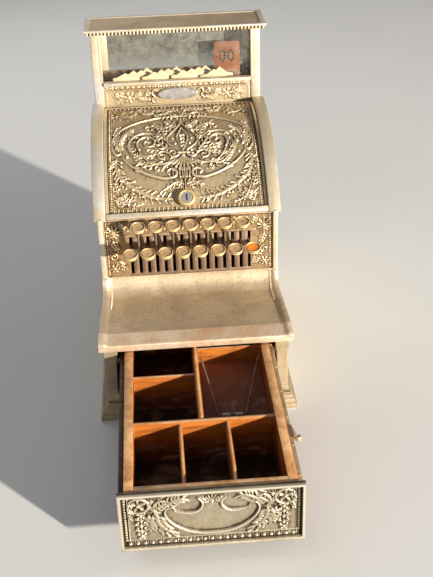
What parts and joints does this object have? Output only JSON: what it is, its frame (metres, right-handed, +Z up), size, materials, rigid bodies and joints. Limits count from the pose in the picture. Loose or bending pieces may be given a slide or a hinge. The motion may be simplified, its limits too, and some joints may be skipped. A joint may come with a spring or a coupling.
{
  "type": "cash register",
  "caption": "Antique cast-metal counter cash register: round keys raise price tablets behind glass, a curved ornate lid covers the works, and a divided wooden drawer slides out.",
  "frame": {"origin": "centre of the plinth's footprint, on the underside of the bottom board", "axes": "+Z up, -Y towards the operator where the keys and the drawer are, +X to the operator's right"},
  "size_m": [0.262, 0.67, 0.432],
  "materials": {
    "cabinet_brass": "worn satin brass gone dull and brown in the hollows",
    "apron_brass": "worn speckled brass",
    "cornice_brass": "streaky brown-grey worn brass",
    "ornate_brass": "cast relief, bright on the high points and dark in the ground",
    "drawer_front_brass": "cast relief, bright on the high points and dark in the ground",
    "key_brass": "polished by use",
    "bell_brass": "bright turned brass",
    "plate_silver": "grey plated metal, satin",
    "counter_metal": "white metal wheels",
    "steel": "dull steel",
    "runner_metal": "dull pressed metal strip",
    "drawer_wood": "varnished orange-brown wood with worn edges",
    "base_wood": "plain dark wood",
    "key_insert": "tan card under a clear disc",
    "orange_insert": "orange disc",
    "tablet_cream": "cream enamel on tin",
    "tablet_orange": "orange-red enamel on tin, faded",
    "display_glass": "dusty clear glass"
  },
  "bodies": {
    "cabinet": {"plinth": "cabinet_brass", "bottom_board": "base_wood", "drawer_housing": "cabinet_brass", "apron": "apron_brass", "left_side_casting": "cabinet_brass", "right_side_casting": "cabinet_brass", "back_cover": "ornate_brass", "keyboard_panel": "ornate_brass", "frieze": "ornate_brass", "nameplate": "plate_silver", "cornice": "cornice_brass", "front_glass": "display_glass", "rear_glass": "display_glass", "flag_guide": "steel", "lid_hinge_pin": "steel", "key_pivot_shaft": "steel", "bell": "bell_brass"},
    "lid": {"lid": "ornate_brass", "lock_barrel": "key_brass"},
    "lock": {"lock_plug": "plate_silver"},
    "counter": {"counter_wheels": "counter_metal"},
    "latch": {"drawer_latch": "steel"},
    "drawer": {"drawer_front": "drawer_front_brass", "drawer_box": "drawer_wood", "coin_dividers": "drawer_wood", "spine_divider": "drawer_wood", "bill_ramp": "drawer_wood", "left_runner": "runner_metal", "right_runner": "runner_metal"},
    "bail": {"bill_weight": "steel"},
    "key_00": {"key_00": "key_brass"},
    "key_01": {"key_01": "key_brass"},
    "key_02": {"key_02": "key_brass"},
    "key_03": {"key_03": "key_brass"},
    "key_04": {"key_04": "key_brass"},
    "key_05": {"key_05": "key_brass"},
    "key_06": {"key_06": "key_brass"},
    "key_07": {"key_07": "key_brass"},
    "key_08": {"key_08": "key_brass"},
    "key_09": {"key_09": "key_brass"},
    "key_10": {"key_10": "key_brass"},
    "key_11": {"key_11": "key_brass"},
    "key_12": {"key_12": "key_brass"},
    "key_13": {"key_13": "key_brass"},
    "key_14": {"key_14": "key_brass"},
    "flag_00": {"flag_00": "tablet_cream"},
    "flag_01": {"flag_01": "tablet_cream"},
    "flag_02": {"flag_02": "tablet_cream"},
    "flag_03": {"flag_03": "tablet_cream"},
    "flag_04": {"flag_04": "tablet_cream"},
    "flag_05": {"flag_05": "tablet_cream"},
    "flag_06": {"flag_06": "tablet_cream"},
    "flag_07": {"flag_07": "tablet_cream"},
    "flag_08": {"flag_08": "tablet_cream"},
    "flag_09": {"flag_09": "tablet_cream"},
    "flag_10": {"flag_10": "tablet_cream"},
    "flag_11": {"flag_11": "tablet_cream"},
    "flag_12": {"flag_12": "tablet_cream"},
    "flag_13": {"flag_13": "tablet_cream"},
    "flag_14": {"flag_14": "tablet_orange"}
  },
  "joints": [
    {"name": "drawer_slide", "type": "slide", "parent": "cabinet", "child": "drawer", "axis": [0, -1, 0], "range_m": [-0.277, 0]},
    {"name": "bill_weight_lift", "type": "hinge", "parent": "drawer", "child": "bail", "pos_m": [0.0415, -0.202, 0.088], "axis": [-1, 0, 0], "range_deg": [0, 75]},
    {"name": "lid_hinge", "type": "hinge", "parent": "cabinet", "child": "lid", "pos_m": [0, 0.118, 0.303], "axis": [-1, 0, 0], "range_deg": [0, 75]},
    {"name": "lock_turn", "type": "hinge", "parent": "lid", "child": "lock", "pos_m": [0, -0.05006, 0.24805], "axis": [0, -0.7302, 0.6833], "range_deg": [0, 90]},
    {"name": "counter_spin", "type": "hinge", "parent": "cabinet", "child": "counter", "pos_m": [0, 0.044, 0.262], "axis": [1, 0, 0], "continuous": true},
    {"name": "latch_drop", "type": "hinge", "parent": "cabinet", "child": "latch", "pos_m": [0, 0.145, 0.112], "axis": [-1, 0, 0], "range_deg": [0, 14], "stiffness_Nm_per_rad": 0.05, "springref_deg": -11.46},
    {"name": "key_00_press", "type": "hinge", "parent": "cabinet", "child": "key_00", "pos_m": [-0.0787, -0.013, 0.185], "axis": [1, 0, 0], "range_deg": [0, 12], "stiffness_Nm_per_rad": 0.5, "springref_deg": -11.46},
    {"name": "key_01_press", "type": "hinge", "parent": "cabinet", "child": "key_01", "pos_m": [-0.0672, -0.013, 0.185], "axis": [1, 0, 0], "range_deg": [0, 12], "stiffness_Nm_per_rad": 0.5, "springref_deg": -11.46},
    {"name": "key_02_press", "type": "hinge", "parent": "cabinet", "child": "key_02", "pos_m": [-0.0557, -0.013, 0.185], "axis": [1, 0, 0], "range_deg": [0, 12], "stiffness_Nm_per_rad": 0.5, "springref_deg": -11.46},
    {"name": "key_03_press", "type": "hinge", "parent": "cabinet", "child": "key_03", "pos_m": [-0.0442, -0.013, 0.185], "axis": [1, 0, 0], "range_deg": [0, 12], "stiffness_Nm_per_rad": 0.5, "springref_deg": -11.46},
    {"name": "key_04_press", "type": "hinge", "parent": "cabinet", "child": "key_04", "pos_m": [-0.0327, -0.013, 0.185], "axis": [1, 0, 0], "range_deg": [0, 12], "stiffness_Nm_per_rad": 0.5, "springref_deg": -11.46},
    {"name": "key_05_press", "type": "hinge", "parent": "cabinet", "child": "key_05", "pos_m": [-0.0212, -0.013, 0.185], "axis": [1, 0, 0], "range_deg": [0, 12], "stiffness_Nm_per_rad": 0.5, "springref_deg": -11.46},
    {"name": "key_06_press", "type": "hinge", "parent": "cabinet", "child": "key_06", "pos_m": [-0.0097, -0.013, 0.185], "axis": [1, 0, 0], "range_deg": [0, 12], "stiffness_Nm_per_rad": 0.5, "springref_deg": -11.46},
    {"name": "key_07_press", "type": "hinge", "parent": "cabinet", "child": "key_07", "pos_m": [0.0018, -0.013, 0.185], "axis": [1, 0, 0], "range_deg": [0, 12], "stiffness_Nm_per_rad": 0.5, "springref_deg": -11.46},
    {"name": "key_08_press", "type": "hinge", "parent": "cabinet", "child": "key_08", "pos_m": [0.0133, -0.013, 0.185], "axis": [1, 0, 0], "range_deg": [0, 12], "stiffness_Nm_per_rad": 0.5, "springref_deg": -11.46},
    {"name": "key_09_press", "type": "hinge", "parent": "cabinet", "child": "key_09", "pos_m": [0.0248, -0.013, 0.185], "axis": [1, 0, 0], "range_deg": [0, 12], "stiffness_Nm_per_rad": 0.5, "springref_deg": -11.46},
    {"name": "key_10_press", "type": "hinge", "parent": "cabinet", "child": "key_10", "pos_m": [0.0363, -0.013, 0.185], "axis": [1, 0, 0], "range_deg": [0, 12], "stiffness_Nm_per_rad": 0.5, "springref_deg": -11.46},
    {"name": "key_11_press", "type": "hinge", "parent": "cabinet", "child": "key_11", "pos_m": [0.0478, -0.013, 0.185], "axis": [1, 0, 0], "range_deg": [0, 12], "stiffness_Nm_per_rad": 0.5, "springref_deg": -11.46},
    {"name": "key_12_press", "type": "hinge", "parent": "cabinet", "child": "key_12", "pos_m": [0.0593, -0.013, 0.185], "axis": [1, 0, 0], "range_deg": [0, 12], "stiffness_Nm_per_rad": 0.5, "springref_deg": -11.46},
    {"name": "key_13_press", "type": "hinge", "parent": "cabinet", "child": "key_13", "pos_m": [0.0708, -0.013, 0.185], "axis": [1, 0, 0], "range_deg": [0, 12], "stiffness_Nm_per_rad": 0.5, "springref_deg": -11.46},
    {"name": "key_14_press", "type": "hinge", "parent": "cabinet", "child": "key_14", "pos_m": [0.0823, -0.013, 0.185], "axis": [1, 0, 0], "range_deg": [0, 12], "stiffness_Nm_per_rad": 0.5, "springref_deg": -11.46},
    {"name": "flag_00_rise", "type": "slide", "parent": "cabinet", "child": "flag_00", "axis": [0, 0, 1], "range_m": [0, 0.04]},
    {"name": "flag_01_rise", "type": "slide", "parent": "cabinet", "child": "flag_01", "axis": [0, 0, 1], "range_m": [0, 0.04]},
    {"name": "flag_02_rise", "type": "slide", "parent": "cabinet", "child": "flag_02", "axis": [0, 0, 1], "range_m": [0, 0.04]},
    {"name": "flag_03_rise", "type": "slide", "parent": "cabinet", "child": "flag_03", "axis": [0, 0, 1], "range_m": [0, 0.04]},
    {"name": "flag_04_rise", "type": "slide", "parent": "cabinet", "child": "flag_04", "axis": [0, 0, 1], "range_m": [0, 0.04]},
    {"name": "flag_05_rise", "type": "slide", "parent": "cabinet", "child": "flag_05", "axis": [0, 0, 1], "range_m": [0, 0.04]},
    {"name": "flag_06_rise", "type": "slide", "parent": "cabinet", "child": "flag_06", "axis": [0, 0, 1], "range_m": [0, 0.04]},
    {"name": "flag_07_rise", "type": "slide", "parent": "cabinet", "child": "flag_07", "axis": [0, 0, 1], "range_m": [0, 0.04]},
    {"name": "flag_08_rise", "type": "slide", "parent": "cabinet", "child": "flag_08", "axis": [0, 0, 1], "range_m": [0, 0.04]},
    {"name": "flag_09_rise", "type": "slide", "parent": "cabinet", "child": "flag_09", "axis": [0, 0, 1], "range_m": [0, 0.04]},
    {"name": "flag_10_rise", "type": "slide", "parent": "cabinet", "child": "flag_10", "axis": [0, 0, 1], "range_m": [0, 0.04]},
    {"name": "flag_11_rise", "type": "slide", "parent": "cabinet", "child": "flag_11", "axis": [0, 0, 1], "range_m": [0, 0.04]},
    {"name": "flag_12_rise", "type": "slide", "parent": "cabinet", "child": "flag_12", "axis": [0, 0, 1], "range_m": [0, 0.04]},
    {"name": "flag_13_rise", "type": "slide", "parent": "cabinet", "child": "flag_13", "axis": [0, 0, 1], "range_m": [0, 0.04]},
    {"name": "flag_14_drop", "type": "slide", "parent": "cabinet", "child": "flag_14", "axis": [0, 0, 1], "range_m": [-0.0365, 0]}
  ],
  "couplings": [
    {"joint": "flag_00_rise", "follows": "key_00_press", "m_per_rad": 0.16656},
    {"joint": "flag_01_rise", "follows": "key_01_press", "m_per_rad": 0.17117},
    {"joint": "flag_02_rise", "follows": "key_02_press", "m_per_rad": 0.17579},
    {"joint": "flag_03_rise", "follows": "key_03_press", "m_per_rad": 0.1804},
    {"joint": "flag_04_rise", "follows": "key_04_press", "m_per_rad": 0.16656},
    {"joint": "flag_05_rise", "follows": "key_05_press", "m_per_rad": 0.17117},
    {"joint": "flag_06_rise", "follows": "key_06_press", "m_per_rad": 0.17579},
    {"joint": "flag_07_rise", "follows": "key_07_press", "m_per_rad": 0.1804},
    {"joint": "flag_08_rise", "follows": "key_08_press", "m_per_rad": 0.16656},
    {"joint": "flag_09_rise", "follows": "key_09_press", "m_per_rad": 0.17117},
    {"joint": "flag_10_rise", "follows": "key_10_press", "m_per_rad": 0.17579},
    {"joint": "flag_11_rise", "follows": "key_11_press", "m_per_rad": 0.1804},
    {"joint": "flag_12_rise", "follows": "key_12_press", "m_per_rad": 0.16656},
    {"joint": "flag_13_rise", "follows": "key_13_press", "m_per_rad": 0.17117}
  ]
}
